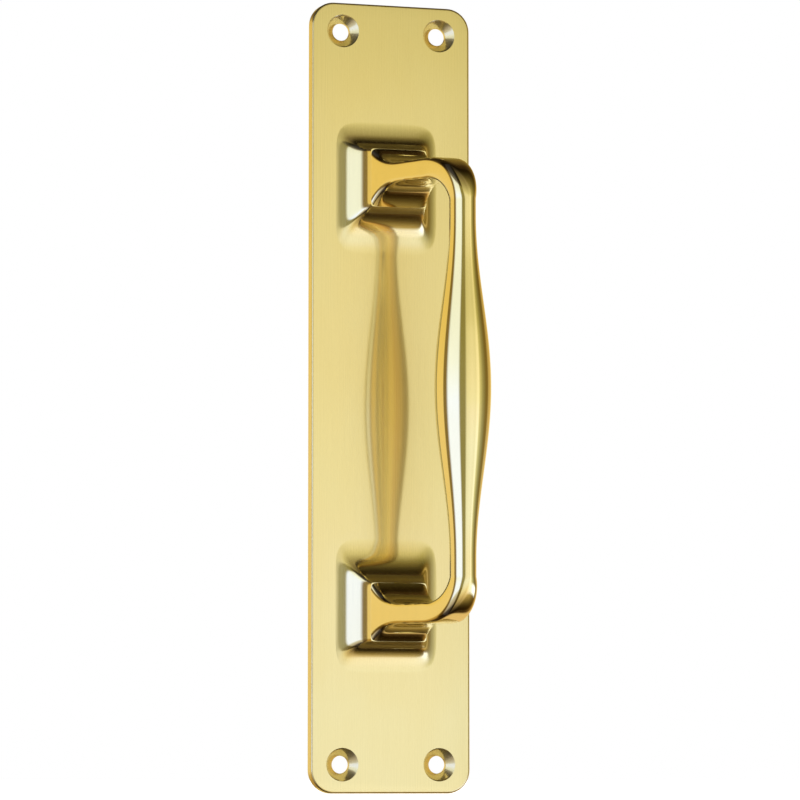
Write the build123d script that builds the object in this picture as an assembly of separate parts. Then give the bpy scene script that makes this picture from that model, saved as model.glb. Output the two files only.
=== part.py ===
from build123d import *
import math
import os

# Door pull cast in one piece: a bowed bar handle on a tall backplate, in millimetres.
# The plate stands upright. X runs across it, Z up it, and the front faces -Y.
# The origin is the centre of the plate's back face, which lies against the door.
# Shapes are drawn lying down, with x across, y up the plate and z out from the door, then stood up.

# Backplate
plate_length = 305.0
plate_width = 64.0
plate_thickness = 4.5
plate_corner_radius = 9.0
plate_edge_radius = 0.9

# Countersunk screw holes, one in each corner, set in from the plate's sides and ends
hole_from_side = 12.5
hole_from_end = 11.0
hole_diameter = 6.8
countersink_diameter = 12.2
countersink_depth = 2.8

# Feet: four-sided pedestals whose hollow flanks sweep up out of the plate and meet in crisp ridges.
# A flank lifts off the plate with a flat toe, turns up in a hollow and ends in a slope at the neck.
# Each flank is given by the slope at the neck, the radius of the hollow and the radius of the toe.
neck_pitch = 167.0
foot_top = 22.4
foot_height = 9.5
toe_angle = 15.0
side_flank = (70.0, 14.0, 4.0)
inner_flank = (84.0, 9.5, 20.0)
outer_flank = (80.0, 5.0, 18.0)

# Handle: arms that stand on the feet and lean to one side, elbows, and a bar that swells to a grip
grip_reach = 47.0
grip_offset = 13.2
neck_ledge = 0.4
neck_squareness = 5.0
arm_pitch = 169.0
arm_thickness = 8.0
arm_width = 11.0
arm_flare = 15.0
elbow_radius = 13.0
bar_end_depth = 8.9
bar_end_width = 8.6
grip_depth = 18.0
grip_width = 18.8
swell_length = 130.0

# Fineness of the handle's skin
outline_points = 16
arm_sections = 5
elbow_sections = 4
bar_sections = 8

# Levels out from the door, and the sideways lean of the arms for each millimetre out
neck_level = plate_thickness + foot_height
grip_level = plate_thickness + grip_reach
lean = grip_offset / (grip_level - neck_level)


def mix(start, end, share):
    """Value that goes from start to end as share goes from 0 to 1."""
    return start + (end - start) * share


def make_plate():
    """Flat plate with rounded corners and a softened front edge."""
    plate = extrude(RectangleRounded(plate_width, plate_length, plate_corner_radius), plate_thickness)
    return fillet(plate.faces().sort_by(Axis.Z)[-1].edges(), plate_edge_radius)


def cove_flank(top, slope, hollow_radius, toe_radius):
    """Hollow flank drawn from the neck down to where its toe runs out onto the plate."""
    outward = math.copysign(1, top)
    fall = math.cos(math.radians(toe_angle)) - math.cos(math.radians(slope))
    drop = foot_height - hollow_radius * fall - toe_radius * (1 - math.cos(math.radians(toe_angle)))
    start = Vector(top, neck_level)
    heading = Vector(outward * math.cos(math.radians(slope)), -math.sin(math.radians(slope)))
    straight = Line(start, start + heading * (drop / math.sin(math.radians(slope))))
    hollow = JernArc(straight @ 1, heading, hollow_radius, outward * (slope - toe_angle))
    toe = JernArc(hollow @ 1, hollow % 1, toe_radius, outward * toe_angle)
    return straight, hollow, toe


def cove_ridge(left_flank, right_flank, length):
    """Long ridge with a flat crown as wide as the neck, between two hollow flanks."""
    left = cove_flank(-foot_top / 2, *left_flank)
    right = cove_flank(foot_top / 2, *right_flank)
    crown = Line(left[0] @ 0, right[0] @ 0)
    floor = Line(left[-1] @ 1, right[-1] @ 1)
    return extrude(Plane.XZ.offset(-length / 2) * make_face([*left, crown, *right, floor]), length)


def make_upper_foot():
    """Two crossed ridges. The flank towards the end of the plate is the steeper one."""
    across = cove_ridge(side_flank, side_flank, plate_width)
    along = cove_ridge(inner_flank, outer_flank, plate_width)
    return Pos(0, neck_pitch / 2) * (across & Rot(Z=90) * along)


def make_screw_hole():
    """Cutter for a through hole that opens to a countersink at the plate's front."""
    drill = Cylinder(hole_diameter / 2, plate_thickness, align=(Align.CENTER, Align.CENTER, Align.MIN))
    sink = Cone(hole_diameter / 2, countersink_diameter / 2, countersink_depth)
    return drill + Pos(0, 0, plate_thickness - countersink_depth / 2) * sink


def bar_size(up):
    """Width and depth of the bar at a height from its middle."""
    swell = math.cos(math.pi * up / swell_length) ** 2 if abs(up) < swell_length / 2 else 0
    return mix(bar_end_width, grip_width, swell), mix(bar_end_depth, grip_depth, swell)


def half_handle_stations():
    """Sections from the upper neck to just above the middle of the bar: place, turn, size and squareness."""
    neck = foot_top - 2 * neck_ledge
    arm_length = grip_level - neck_level - elbow_radius
    bar_top = arm_pitch / 2 - elbow_radius
    stations = []
    for step in range(arm_sections):
        out = arm_length * (step / arm_sections) ** 1.5
        flare = max(0, 1 - out / arm_flare)
        width = mix(arm_width, neck, flare ** 2)
        depth = mix(arm_thickness, neck, flare ** 3)
        up = mix(arm_pitch, neck_pitch, flare ** 2) / 2
        stations.append((up, neck_level + out, 0, width, depth, mix(2, neck_squareness, flare)))
    for step in range(elbow_sections + 1):
        share = step / elbow_sections
        turn = math.radians(90 * share)
        up = bar_top + elbow_radius * math.cos(turn)
        out = grip_level - elbow_radius * (1 - math.sin(turn))
        end_width, end_depth = bar_size(bar_top)
        width = mix(arm_width, end_width, share)
        depth = mix(arm_thickness, end_depth, share)
        stations.append((up, out, turn, width, depth, 2))
    for step in range(1, bar_sections):
        up = bar_top * (1 - step / bar_sections)
        stations.append((up, grip_level, math.pi / 2, *bar_size(up), 2))
    return stations


def handle_section(up, out, turn, width, depth, squareness):
    """Face across the handle, from oval to squarish, slid sideways by the lean of the arms."""
    points = []
    for step in range(outline_points):
        angle = 2 * math.pi * step / outline_points
        across = abs(2 * math.cos(angle) / width) ** squareness
        along = abs(2 * math.sin(angle) / depth) ** squareness
        radius = (across + along) ** (-1 / squareness)
        y = up + radius * math.sin(angle) * math.cos(turn)
        z = out + radius * math.sin(angle) * math.sin(turn)
        x = radius * math.cos(angle) + lean * (z - neck_level)
        points.append((x, y, z))
    return Face(Wire([Spline(*points, periodic=True)]))


def make_handle():
    """One smooth skin from neck to neck, the lower half a mirror image of the upper."""
    upper = half_handle_stations()
    middle = (0, grip_level, math.pi / 2, grip_width, grip_depth, 2)
    lower = [(-up, out, math.pi - turn, *size) for up, out, turn, *size in reversed(upper)]
    return loft([handle_section(*station) for station in [*upper, middle, *lower]])


def make_pull_handle():
    """The whole casting, drawn lying on its back."""
    foot = make_upper_foot()
    casting = make_plate() + [foot, Rot(Z=180) * foot]
    across = plate_width - 2 * hole_from_side
    along = plate_length - 2 * hole_from_end
    casting -= [place * make_screw_hole() for place in GridLocations(across, along, 2, 2)]
    return casting + make_handle()


os.makedirs("parts", exist_ok=True)
export_step(Plane.XZ * make_pull_handle(), "parts/pull_handle.step")
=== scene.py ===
import math

import bmesh
import bpy
from mathutils import Matrix, Vector


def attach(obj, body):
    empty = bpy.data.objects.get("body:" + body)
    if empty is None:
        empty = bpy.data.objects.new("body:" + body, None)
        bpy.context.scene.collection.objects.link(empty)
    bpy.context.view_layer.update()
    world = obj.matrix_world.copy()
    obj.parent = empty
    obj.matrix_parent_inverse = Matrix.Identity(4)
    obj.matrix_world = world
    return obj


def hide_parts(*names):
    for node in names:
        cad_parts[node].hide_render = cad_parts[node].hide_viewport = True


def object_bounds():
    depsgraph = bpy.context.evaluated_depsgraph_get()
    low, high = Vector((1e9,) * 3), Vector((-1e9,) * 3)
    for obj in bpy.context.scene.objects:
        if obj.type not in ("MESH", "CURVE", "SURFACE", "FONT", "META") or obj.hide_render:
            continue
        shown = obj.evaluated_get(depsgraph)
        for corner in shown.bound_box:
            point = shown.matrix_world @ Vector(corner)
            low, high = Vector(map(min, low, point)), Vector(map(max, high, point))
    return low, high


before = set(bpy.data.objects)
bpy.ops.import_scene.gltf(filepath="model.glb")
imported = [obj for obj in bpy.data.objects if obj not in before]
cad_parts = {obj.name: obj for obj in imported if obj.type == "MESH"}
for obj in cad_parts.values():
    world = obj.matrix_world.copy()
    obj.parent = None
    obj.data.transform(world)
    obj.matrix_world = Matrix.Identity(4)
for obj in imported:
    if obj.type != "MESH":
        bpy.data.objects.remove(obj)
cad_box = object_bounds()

# Door pull cast in one piece: a bowed bar handle on a tall backplate, with sizes in millimetres.
# Shapes are drawn lying down, with x across, y up the plate and z out from the door, then stood up in metres.
# Sizes follow the solid's, but for the flanks of the feet, the necks, the arms and the worn edges of the holes.
MM = 0.001
STAND_UP = Matrix.Rotation(math.radians(90), 4, "X") @ Matrix.Scale(MM, 4)

# Backplate
plate_length = 305.0
plate_width = 64.0
plate_thickness = 4.5
plate_corner_radius = 9.0
plate_edge_radius = 0.9

# Countersunk screw holes, one in each corner, set in from the plate's sides and ends
hole_from_side = 12.5
hole_from_end = 11.0
hole_diameter = 6.8
countersink_diameter = 12.2
countersink_depth = 2.8

# Worn edges of the holes: the rim in front, the throat under the countersink and the edge behind
rim_wear_out = 0.3
rim_wear_in = 0.25
rim_wear_down = 0.21
throat_wear = 0.12
back_wear_out = 0.2
back_wear_up = 0.25

# Feet: four-sided pedestals whose hollow flanks sweep up out of the plate and meet in ridges.
# Each flank is given by the slope at the neck, the radius of the hollow, and the angle and radius of the toe.
neck_pitch = 167.0
foot_top = 22.4
foot_height = 9.5
left_flank = (62.0, 18.9, 18.0, 1.0)
right_flank = (80.0, 5.5, 15.0, 10.0)
inner_flank = (62.0, 16.0, 12.0, 30.0)
outer_flank = (80.0, 8.0, 12.0, 24.0)

# Handle: arms that stand on the feet and lean to one side, elbows, and a bar that swells to a grip.
# The grip is a hair less deep than the solid's, so that it stays inside the solid's box.
grip_reach = 47.0
grip_offset = 13.2
neck_ledge = 0.03
neck_sink = 0.6
arm_pitch = 169.0
arm_thickness = 8.2
arm_width = 13.0
arm_flare = 15.0
elbow_radius = 13.0
bar_end_depth = 8.9
bar_end_width = 8.6
grip_depth = 17.98
grip_width = 18.8
swell_length = 130.0

# Squareness of sections, from 2 for an oval to high values for a square with crisp corners
oval = 2
foot_base_squareness = 6.0
foot_top_squareness = 24.0
neck_squareness = 12.0
arm_squareness = 8.0

# Patterns in the brass, by their sizes across, out and up. Real belt lines are too fine to show, so these
# are drawn some ten times as coarse.
tone_patch = (30.0, 30.0, 45.0)
belt_line = (0.5, 0.5, 30.0)
wheel_patch = (6.0, 6.0, 14.0)

# Heights over the plate between which the haze of the flat gives way to the clearer feet
haze_full_height = 0.2
haze_gone_height = 2.0

# Fineness of the meshes, and the angle in degrees from which an edge stays crisp
corner_segments = 14
edge_segments = 5
hole_segments = 72
foot_segments = 192
foot_rings = 44
handle_segments = 112
arm_rings = 46
elbow_rings = 30
bar_rings = 90
crease_angle = 24.0

# Levels out from the door, and the sideways lean of the arms for each millimetre out
neck_level = plate_thickness + foot_height
grip_level = plate_thickness + grip_reach
lean = grip_offset / (grip_level - neck_level)


def mix(start, end, share):
    """Value that goes from start to end as share goes from 0 to 1."""
    return start + (end - start) * share


def srgb(code):
    """Linear colour of an sRGB hex value."""
    parts = [int(code[i:i + 2], 16) / 255 for i in (1, 3, 5)]
    return (*[c / 12.92 if c <= 0.04045 else ((c + 0.055) / 1.055) ** 2.4 for c in parts], 1.0)


def make_object(name, bm, material):
    """Smooth object from a drawn mesh."""
    mesh = bpy.data.meshes.new(name)
    bm.to_mesh(mesh)
    bm.free()
    mesh.shade_smooth()
    mesh.materials.append(material)
    made = bpy.data.objects.new(name, mesh)
    bpy.context.scene.collection.objects.link(made)
    return made


def make_piece(name, bm, material):
    """Piece of the casting: stood up, with crisp edges, and riding on the one body."""
    bmesh.ops.transform(bm, matrix=STAND_UP, verts=bm.verts)
    bmesh.ops.recalc_face_normals(bm, faces=bm.faces)
    piece = make_object(name, bm, material)
    piece.data.set_sharp_from_angle(angle=math.radians(crease_angle))
    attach(piece, "root")
    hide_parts("pull_handle")
    return piece


def boundary(faces):
    """Edges round a group of faces."""
    return [e for e in {e for f in faces for e in f.edges} if sum(f in faces for f in e.link_faces) == 1]


def lay_ring(bm, segments, place, width, depth, squareness):
    """Ring of edges, from oval to squarish, laid at a place."""
    ring = bmesh.ops.create_circle(bm, segments=segments, radius=1)["verts"]
    for vert in ring:
        across = abs(2 * vert.co.x / width) ** squareness
        along = abs(2 * vert.co.y / depth) ** squareness
        vert.co *= (across + along) ** (-1 / squareness)
    bmesh.ops.transform(bm, matrix=place, verts=ring)
    return list({e for v in ring for e in v.link_edges})


def skin(bm, loops):
    """Faces from each ring to the next."""
    for first, second in zip(loops, loops[1:]):
        bmesh.ops.bridge_loops(bm, edges=first + second)


def plate_body(bm):
    """Plate with rounded corners and front edge, open in front and behind. Returns both openings' edges."""
    sheet = bmesh.ops.create_grid(bm, x_segments=1, y_segments=1, size=0.5)["verts"]
    bmesh.ops.scale(bm, vec=(plate_width, plate_length, 1), verts=sheet)
    bmesh.ops.bevel(bm, geom=sheet, affect="VERTICES", offset=plate_corner_radius,
                    segments=corner_segments, profile=0.5, material=-1)
    raised = bmesh.ops.extrude_face_region(bm, geom=bm.faces[:])["geom"]
    verts = [g for g in raised if isinstance(g, bmesh.types.BMVert)]
    front = [g for g in raised if isinstance(g, bmesh.types.BMFace)]
    bmesh.ops.translate(bm, vec=(0, 0, plate_thickness), verts=verts)
    bmesh.ops.bevel(bm, geom=boundary(front), affect="EDGES", offset=plate_edge_radius,
                    segments=edge_segments, profile=0.5, material=-1)
    # Only the flat front and back have more than four corners
    flats = [f for f in bm.faces if len(f.verts) > 4]
    middle = plate_thickness / 2
    front_edges = [e for f in flats if f.calc_center_median().z > middle for e in f.edges]
    back_edges = [e for f in flats if f.calc_center_median().z < middle for e in f.edges]
    bmesh.ops.delete(bm, geom=flats, context="FACES_ONLY")
    return front_edges, back_edges


def drill(bm, x, y):
    """Countersunk hole as rings from the plate's front to its back. Returns its front and back edges."""
    sink_radius, hole_radius = countersink_diameter / 2, hole_diameter / 2
    throat_level = plate_thickness - countersink_depth
    rings = [
        (sink_radius + rim_wear_out, plate_thickness),
        (sink_radius, plate_thickness - rim_wear_down),
        (sink_radius - rim_wear_in, plate_thickness - 2 * rim_wear_down),
        (hole_radius + throat_wear, throat_level + throat_wear),
        (hole_radius, throat_level - throat_wear),
        (hole_radius, back_wear_up),
        (hole_radius + back_wear_out, 0),
    ]
    loops = []
    for radius, level in rings:
        place = Matrix.Translation((x, y, level))
        loops.append(lay_ring(bm, hole_segments, place, 2 * radius, 2 * radius, oval))
    skin(bm, loops)
    return loops[0], loops[-1]


def cove_reach(height, slope, hollow_radius, toe_angle, toe_radius):
    """How far out from the neck a hollow flank is at a height over the plate."""
    toe, steep = math.radians(toe_angle), math.radians(slope)
    toe_height = toe_radius * (1 - math.cos(toe))
    hollow_height = hollow_radius * (math.cos(toe) - math.cos(steep))
    if height > toe_height + hollow_height:
        return (foot_height - height) / math.tan(steep)
    straight_reach = (foot_height - toe_height - hollow_height) / math.tan(steep)
    if height > toe_height:
        angle = math.acos(math.cos(toe) - (height - toe_height) / hollow_radius)
        return straight_reach + hollow_radius * (math.sin(steep) - math.sin(angle))
    hollow_reach = hollow_radius * (math.sin(steep) - math.sin(toe))
    angle = math.acos(1 - height / toe_radius)
    return straight_reach + hollow_reach + toe_radius * (math.sin(toe) - math.sin(angle))


def raise_foot(bm, side):
    """Foot as rings from the plate up to the neck, soft at the base and crisp above. Returns its base."""
    loops = []
    for step in range(foot_rings + 1):
        # Rings lie closer together near the plate, where the flanks run out flat
        climb = step / foot_rings
        height = foot_height * climb ** 2
        left, right, inner, outer = [foot_top / 2 + cove_reach(height, *flank)
                                     for flank in (left_flank, right_flank, inner_flank, outer_flank)]
        x = (right - left) / 2
        y = side * (neck_pitch + outer - inner) / 2
        place = Matrix.Translation((x, y, plate_thickness + height))
        squareness = mix(foot_base_squareness, foot_top_squareness, climb)
        loops.append(lay_ring(bm, foot_segments, place, left + right, outer + inner, squareness))
    skin(bm, loops)
    bmesh.ops.contextual_create(bm, geom=loops[-1])
    return loops[0]


def make_plate(material):
    """Plate with four countersunk holes and the two feet."""
    bm = bmesh.new()
    front_edges, back_edges = plate_body(bm)
    for x_side in (-1, 1):
        for y_side in (-1, 1):
            x = x_side * (plate_width / 2 - hole_from_side)
            y = y_side * (plate_length / 2 - hole_from_end)
            rim, end = drill(bm, x, y)
            front_edges += rim
            back_edges += end
    for side in (1, -1):
        front_edges += raise_foot(bm, side)
    for edges in (front_edges, back_edges):
        bmesh.ops.triangle_fill(bm, use_beauty=True, use_dissolve=False, edges=edges)
    piece = make_piece("backplate", bm, material)
    normals = piece.modifiers.new("flat_faces_stay_flat", "WEIGHTED_NORMAL")
    normals.weight = 100
    normals.keep_sharp = True


def bar_size(up):
    """Width and depth of the bar at a height from its middle."""
    swell = math.cos(math.pi * up / swell_length) ** 2 if abs(up) < swell_length / 2 else 0
    return mix(bar_end_width, grip_width, swell), mix(bar_end_depth, grip_depth, swell)


def half_handle_rings():
    """Rings from the upper neck to just above the middle of the bar: place, turn, size and squareness."""
    neck = foot_top - 2 * neck_ledge
    arm_length = grip_level - neck_level - elbow_radius
    bar_top = arm_pitch / 2 - elbow_radius
    end_width, end_depth = bar_size(bar_top)
    rings = [(neck_pitch / 2, neck_level - neck_sink, 0, neck, neck, neck_squareness)]
    for step in range(arm_rings):
        # Rings lie closer together near the neck, where the arm flares
        out = arm_length * (step / arm_rings) ** 1.5
        flare = max(0, 1 - out / arm_flare)
        width = mix(neck, arm_width, out / arm_length)
        depth = mix(arm_thickness, neck, flare ** 3)
        up = mix(arm_pitch, neck_pitch, flare ** 2) / 2
        squareness = mix(arm_squareness, neck_squareness, flare ** 3)
        rings.append((up, neck_level + out, 0, width, depth, squareness))
    for step in range(elbow_rings + 1):
        share = step / elbow_rings
        turn = math.radians(90 * share)
        up = bar_top + elbow_radius * math.cos(turn)
        out = grip_level - elbow_radius * (1 - math.sin(turn))
        width = mix(arm_width, end_width, share)
        depth = mix(arm_thickness, end_depth, share)
        rings.append((up, out, turn, width, depth, mix(arm_squareness, oval, math.sqrt(share))))
    for step in range(1, bar_rings):
        up = bar_top * (1 - step / bar_rings)
        rings.append((up, grip_level, math.pi / 2, *bar_size(up), oval))
    return rings


def make_handle(material):
    """Bar, elbows and arms as one skin of rings from neck to neck, leaning, and closed inside the feet."""
    bm = bmesh.new()
    upper = half_handle_rings()
    middle = (0, grip_level, math.pi / 2, grip_width, grip_depth, oval)
    lower = [(-up, out, math.pi - turn, *size) for up, out, turn, *size in reversed(upper)]
    loops = []
    for up, out, turn, *size in [*upper, middle, *lower]:
        place = Matrix.Translation((0, up, out)) @ Matrix.Rotation(turn, 4, "X")
        loops.append(lay_ring(bm, handle_segments, place, *size))
    skin(bm, loops)
    for end in (loops[0], loops[-1]):
        bmesh.ops.contextual_create(bm, geom=end)
    slide = Matrix.Identity(4)
    slide[0][2] = lean
    slide[0][3] = -lean * neck_level
    bmesh.ops.transform(bm, matrix=slide, verts=bm.verts)
    make_piece("handle", bm, material)


def add_node(tree, kind, inputs=None, stops=(), **settings):
    """Adds a node with settings, a link or value for each input, and a ramp's stops. Returns its outputs."""
    node = tree.nodes.new(kind)
    for name, value in settings.items():
        setattr(node, name, value)
    for name, value in (inputs or {}).items():
        if isinstance(value, bpy.types.NodeSocket):
            tree.links.new(value, node.inputs[name])
        else:
            node.inputs[name].default_value = value
    for index, (place, colour) in enumerate(stops):
        if index == len(node.color_ramp.elements):
            node.color_ramp.elements.new(1)
        node.color_ramp.elements[index].position = place
        node.color_ramp.elements[index].color = (*colour, 1)
    return node.outputs


def new_material(name):
    """Material with an empty node tree."""
    material = bpy.data.materials.new(name)
    material.use_nodes = True
    material.node_tree.nodes.clear()
    return material


def patches(tree, sizes):
    """Soft patches from 0 to 1, with sizes across, out and up, from the middle range of a noise."""
    place = add_node(tree, "ShaderNodeTexCoord")["Object"]
    scale = [1 / (size * MM) for size in sizes]
    place = add_node(tree, "ShaderNodeMapping", {"Vector": place, "Scale": scale})["Vector"]
    cloud = add_node(tree, "ShaderNodeTexNoise", {"Vector": place, "Scale": 1.0, "Detail": 2.0})["Fac"]
    stretch = {"Value": cloud, "From Min": 0.35, "From Max": 0.65}
    return add_node(tree, "ShaderNodeMapRange", stretch)["Result"]


def hazed_brass(tree, clear, haze, haze_share):
    """Brass of slightly wandering tone: a clear mirror and a haze, of given roughnesses, mixed by a share."""
    colour = add_node(tree, "ShaderNodeMix", {
        "Factor": patches(tree, tone_patch), "A": srgb("#F5E7B4"), "B": srgb("#F5E9BA")}, data_type="RGBA")
    lobes = []
    for roughness in (clear, haze):
        metal = {"Base Color": colour["Result"], "Metallic": 1.0, "Roughness": roughness}
        lobes.append(add_node(tree, "ShaderNodeBsdfPrincipled", metal)["BSDF"])
    both = add_node(tree, "ShaderNodeMixShader", {0: haze_share, 1: lobes[0], 2: lobes[1]})["Shader"]
    add_node(tree, "ShaderNodeOutputMaterial", {"Surface": both})


def linished_brass():
    """Brass run along a fine belt and then buffed."""
    # The belt leaves faint upright lines and a haze over the reflections, most of it on the flat of the
    # plate. The wheel reached the feet better, so they mirror more clearly.
    material = new_material("linished_brass")
    tree = material.node_tree
    place = add_node(tree, "ShaderNodeTexCoord")["Object"]
    on_flat = add_node(tree, "ShaderNodeMapRange", {
        "Value": add_node(tree, "ShaderNodeSeparateXYZ", {"Vector": place})["Y"],
        "From Min": -(plate_thickness + haze_gone_height) * MM,
        "From Max": -(plate_thickness + haze_full_height) * MM})["Result"]
    feet_haze = (0.12, 0.16)
    flat_haze = (0.5, 0.56)
    least, most = [add_node(tree, "ShaderNodeMix", {"Factor": on_flat, "A": feet, "B": flat})["Result"]
                   for feet, flat in zip(feet_haze, flat_haze)]
    dulling = {"Factor": patches(tree, belt_line), "A": least, "B": most}
    haze_share = add_node(tree, "ShaderNodeMix", dulling)["Result"]
    hazed_brass(tree, clear=0.07, haze=0.4, haze_share=haze_share)
    return material


def buffed_brass():
    """Brass buffed on a soft wheel."""
    # The wheel leaves a mirror, with slightly duller patches where it dwelt less.
    material = new_material("buffed_brass")
    tree = material.node_tree
    dulling = {"Factor": patches(tree, wheel_patch), "A": 0.02, "B": 0.1}
    haze_share = add_node(tree, "ShaderNodeMix", dulling)["Result"]
    hazed_brass(tree, clear=0.04, haze=0.3, haze_share=haze_share)
    return material


make_plate(linished_brass())
make_handle(buffed_brass())


# Stage, in metres: white paper under the plate, and a light tent round it that only reflections see.
# Places on the tent are degrees from straight in front, right positive, and heights over its middle as
# shares of its radius.
floor_reach = 6.0
tent_radius = 0.9
olive = (0.28, 0.27, 0.13)
dark = (0.22, 0.16, 0.055)
pale = (1.1, 1.1, 1.09)
softbox = (0.98, 1.18, 2.0)
gold = (0.85, 0.69, 0.33)
white = (1.0, 1.0, 1.0)
warm_cast = (1.085, 1.045, 0.965)

# Light round the tent: a softbox on the left, the open front, dark cloth on the right and gold behind
light_around = [
    (-99, gold), (-95, dark), (-85, dark), (-77, softbox), (-46, softbox), (-41, olive), (-27, olive),
    (-21, (0.88, 0.88, 0.8)), (-4, (0.97, 0.97, 0.95)), (9, (0.92, 0.92, 0.86)), (15, pale), (20.5, pale),
    (26, (0.7, 0.68, 0.45)), (40, (0.37, 0.35, 0.21)), (54, (0.24, 0.21, 0.1)), (62, dark), (76, dark),
    (88, (0.55, 0.43, 0.22)), (112, (0.7, 0.5, 0.26)), (130, (0.95, 0.8, 0.45)), (160, gold),
]

# How that light fades towards the top and bottom of the tent, in its left part and in the rest
left_part_end = -27
right_part_start = -21
left_fade = [
    (-1.0, (0.03, 0.02, 0.016)), (-0.8, (0.08, 0.06, 0.04)), (-0.6, (0.45, 0.34, 0.2)),
    (-0.38, (0.6, 0.5, 0.3)), (-0.3, (0.72, 0.64, 0.43)), (-0.22, white), (0.03, white),
    (0.1, (1.0, 0.98, 0.86)), (0.18, (0.98, 0.94, 0.72)), (0.28, (0.95, 0.9, 0.64)),
    (0.4, (0.88, 0.82, 0.56)), (0.47, (0.2, 0.155, 0.08)), (0.65, (0.05, 0.04, 0.03)),
    (1.0, (0.02, 0.016, 0.012)),
]
right_fade = [
    (-1.0, (0.03, 0.02, 0.016)), (-0.95, (0.09, 0.065, 0.04)), (-0.86, (0.32, 0.245, 0.13)),
    (-0.74, (0.58, 0.46, 0.25)), (-0.62, (0.78, 0.66, 0.4)), (-0.48, (0.94, 0.88, 0.65)),
    (-0.3, (0.98, 1.0, 0.98)), (-0.13, (0.99, 1.06, 1.11)), (-0.02, (1.0, 1.0, 0.95)),
    (0.033, (0.97, 0.97, 0.79)), (0.12, (0.94, 0.915, 0.72)), (0.27, (0.86, 0.82, 0.56)),
    (0.306, (0.77, 0.73, 0.44)), (0.36, (0.68, 0.64, 0.37)), (0.46, (0.53, 0.49, 0.27)),
    (0.6, (0.36, 0.32, 0.16)), (0.75, (0.24, 0.2, 0.1)), (0.88, (0.13, 0.105, 0.055)),
    (0.96, (0.04, 0.03, 0.02)), (1.0, (0.02, 0.016, 0.012)),
]

# Soft-edged cards on the tent, a lamp low in front on the right and a tan sheet behind: the degrees and the
# heights where each starts, is full, starts to end and ends, and its light
cards = [
    ((14, 36, 56, 70), (-0.68, -0.57, -0.38, -0.24), (1.5, 1.7, 2.4)),
    ((104, 120, 150, 178), (-1.0, -0.95, -0.4, -0.2), (0.78, 0.59, 0.31)),
]


def around(degrees):
    """Place of a direction on a ramp that runs once round the tent."""
    return (degrees + 180) / 360


def upward(height):
    """Place of a height on a ramp that runs up the tent."""
    return (height + 1) / 2


def white_paper():
    """Matt paper, lit from below too, so that it stays white round the plate's soft shadow."""
    material = new_material("white_paper")
    tree = material.node_tree
    paper = add_node(tree, "ShaderNodeBsdfPrincipled", {
        "Base Color": srgb("#F4F4F2"), "Roughness": 0.9,
        "Emission Color": (*white, 1), "Emission Strength": 0.5})
    add_node(tree, "ShaderNodeOutputMaterial", {"Surface": paper["BSDF"]})
    return material


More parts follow.
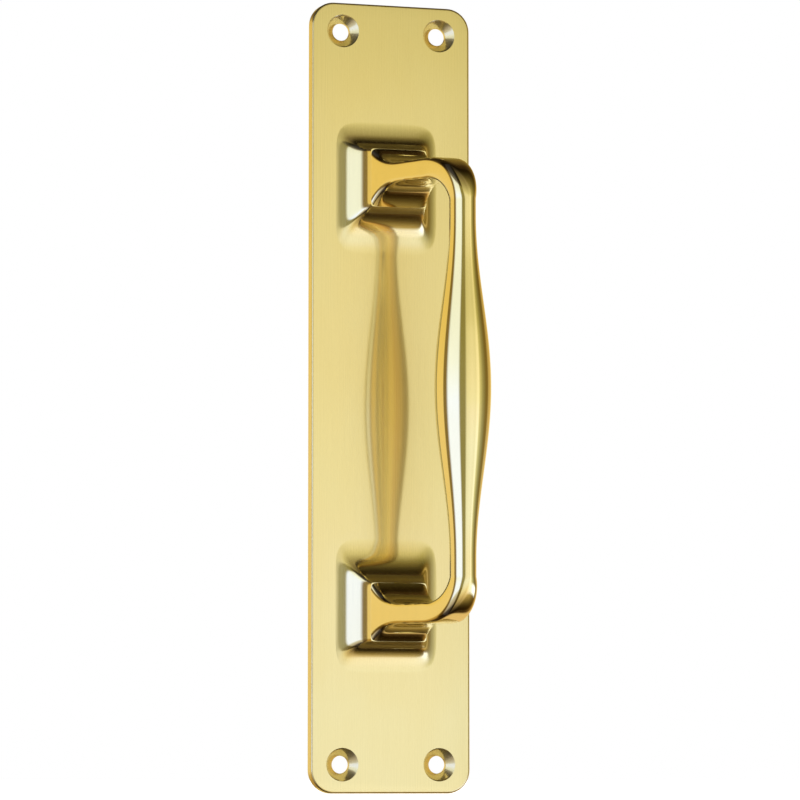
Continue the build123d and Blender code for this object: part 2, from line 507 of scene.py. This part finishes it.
def tent_cloth():
    """Glowing cloth, whose light follows the direction and the height."""
    material = new_material("tent_cloth")
    tree = material.node_tree
    place = add_node(tree, "ShaderNodeTexCoord")["Object"]
    parts = add_node(tree, "ShaderNodeSeparateXYZ", {"Vector": place})
    front = add_node(tree, "ShaderNodeMath", {0: parts["Y"], 1: -1.0}, operation="MULTIPLY")["Value"]
    angle = add_node(tree, "ShaderNodeMath", {0: parts["X"], 1: front}, operation="ARCTAN2")["Value"]
    turn = add_node(tree, "ShaderNodeMapRange", {
        "Value": angle, "From Min": -math.pi, "From Max": math.pi})["Result"]
    climb = add_node(tree, "ShaderNodeMapRange", {
        "Value": parts["Z"], "From Min": -tent_radius, "From Max": tent_radius})["Result"]
    stops = [(around(degrees), colour) for degrees, colour in light_around]
    light = add_node(tree, "ShaderNodeValToRGB", {"Fac": turn}, stops)["Color"]
    fades = []
    for fade in (left_fade, right_fade):
        stops = [(upward(height), colour) for height, colour in fade]
        fades.append(add_node(tree, "ShaderNodeValToRGB", {"Fac": climb}, stops)["Color"])
    to_right = add_node(tree, "ShaderNodeMapRange", {
        "Value": turn, "From Min": around(left_part_end), "From Max": around(right_part_start)})["Result"]
    fade = add_node(tree, "ShaderNodeMix", {"Factor": to_right, "A": fades[0], "B": fades[1]},
                    data_type="RGBA")["Result"]
    light = add_node(tree, "ShaderNodeMix", {"Factor": 1.0, "A": light, "B": fade},
                     data_type="RGBA", blend_type="MULTIPLY")["Result"]
    for sides, heights, glow in cards:
        stops = [(around(degrees), (share,) * 3) for degrees, share in zip(sides, (0, 1, 1, 0))]
        across = add_node(tree, "ShaderNodeValToRGB", {"Fac": turn}, stops)["Color"]
        stops = [(upward(height), (share,) * 3) for height, share in zip(heights, (0, 1, 1, 0))]
        along = add_node(tree, "ShaderNodeValToRGB", {"Fac": climb}, stops)["Color"]
        share = add_node(tree, "ShaderNodeMath", {0: across, 1: along}, operation="MULTIPLY")["Value"]
        light = add_node(tree, "ShaderNodeMix", {"Factor": share, "A": light, "B": (*glow, 1)},
                         data_type="RGBA")["Result"]
    light = add_node(tree, "ShaderNodeMix", {"Factor": 1.0, "A": light, "B": (*warm_cast, 1)},
                     data_type="RGBA", blend_type="MULTIPLY")["Result"]
    glow = add_node(tree, "ShaderNodeEmission", {"Color": light})
    add_node(tree, "ShaderNodeOutputMaterial", {"Surface": glow["Emission"]})
    return material


bm = bmesh.new()
under_plate = Matrix.Translation((0, 0, cad_box[0].z))
bmesh.ops.create_grid(bm, x_segments=1, y_segments=1, size=floor_reach, matrix=under_plate)
floor = make_object("floor", bm, white_paper())
floor.visible_glossy = False

bm = bmesh.new()
bmesh.ops.create_uvsphere(bm, u_segments=96, v_segments=48, radius=tent_radius)
tent = make_object("studio_tent", bm, tent_cloth())
tent.visible_camera = False
tent.visible_diffuse = False
tent.visible_shadow = False
tent.visible_transmission = False

world = bpy.data.worlds.new("white_room")
bpy.context.scene.world = world
world.use_nodes = True
world.node_tree.nodes["Background"].inputs["Color"].default_value = (*white, 1)

# Camera, in millimetres and degrees, with the photo's scale
camera_azimuth = -18.0
camera_elevation = -4.9
camera_distance = 1700.0
camera_aim = Vector((4.58, -1.49, -1.0))
photo_pixels = 800
pixels_per_mm = 2.587
sensor_width = 36.0
view_limit = 50.0

azimuth, elevation = math.radians(camera_azimuth), math.radians(camera_elevation)
away = Vector((math.sin(azimuth) * math.cos(elevation), -math.cos(azimuth) * math.cos(elevation),
               math.sin(elevation)))
lens = bpy.data.cameras.new("camera")
lens.sensor_width = sensor_width
lens.lens = sensor_width * camera_distance / (photo_pixels / pixels_per_mm)
lens.clip_end = view_limit
camera = bpy.data.objects.new("camera", lens)
camera.location = (camera_aim + away * camera_distance) * MM
camera.rotation_mode = "QUATERNION"
camera.rotation_quaternion = (-away).to_track_quat("-Z", "Y")
bpy.context.scene.collection.objects.link(camera)
bpy.context.scene.camera = camera
bpy.context.scene.view_settings.view_transform = "Standard"
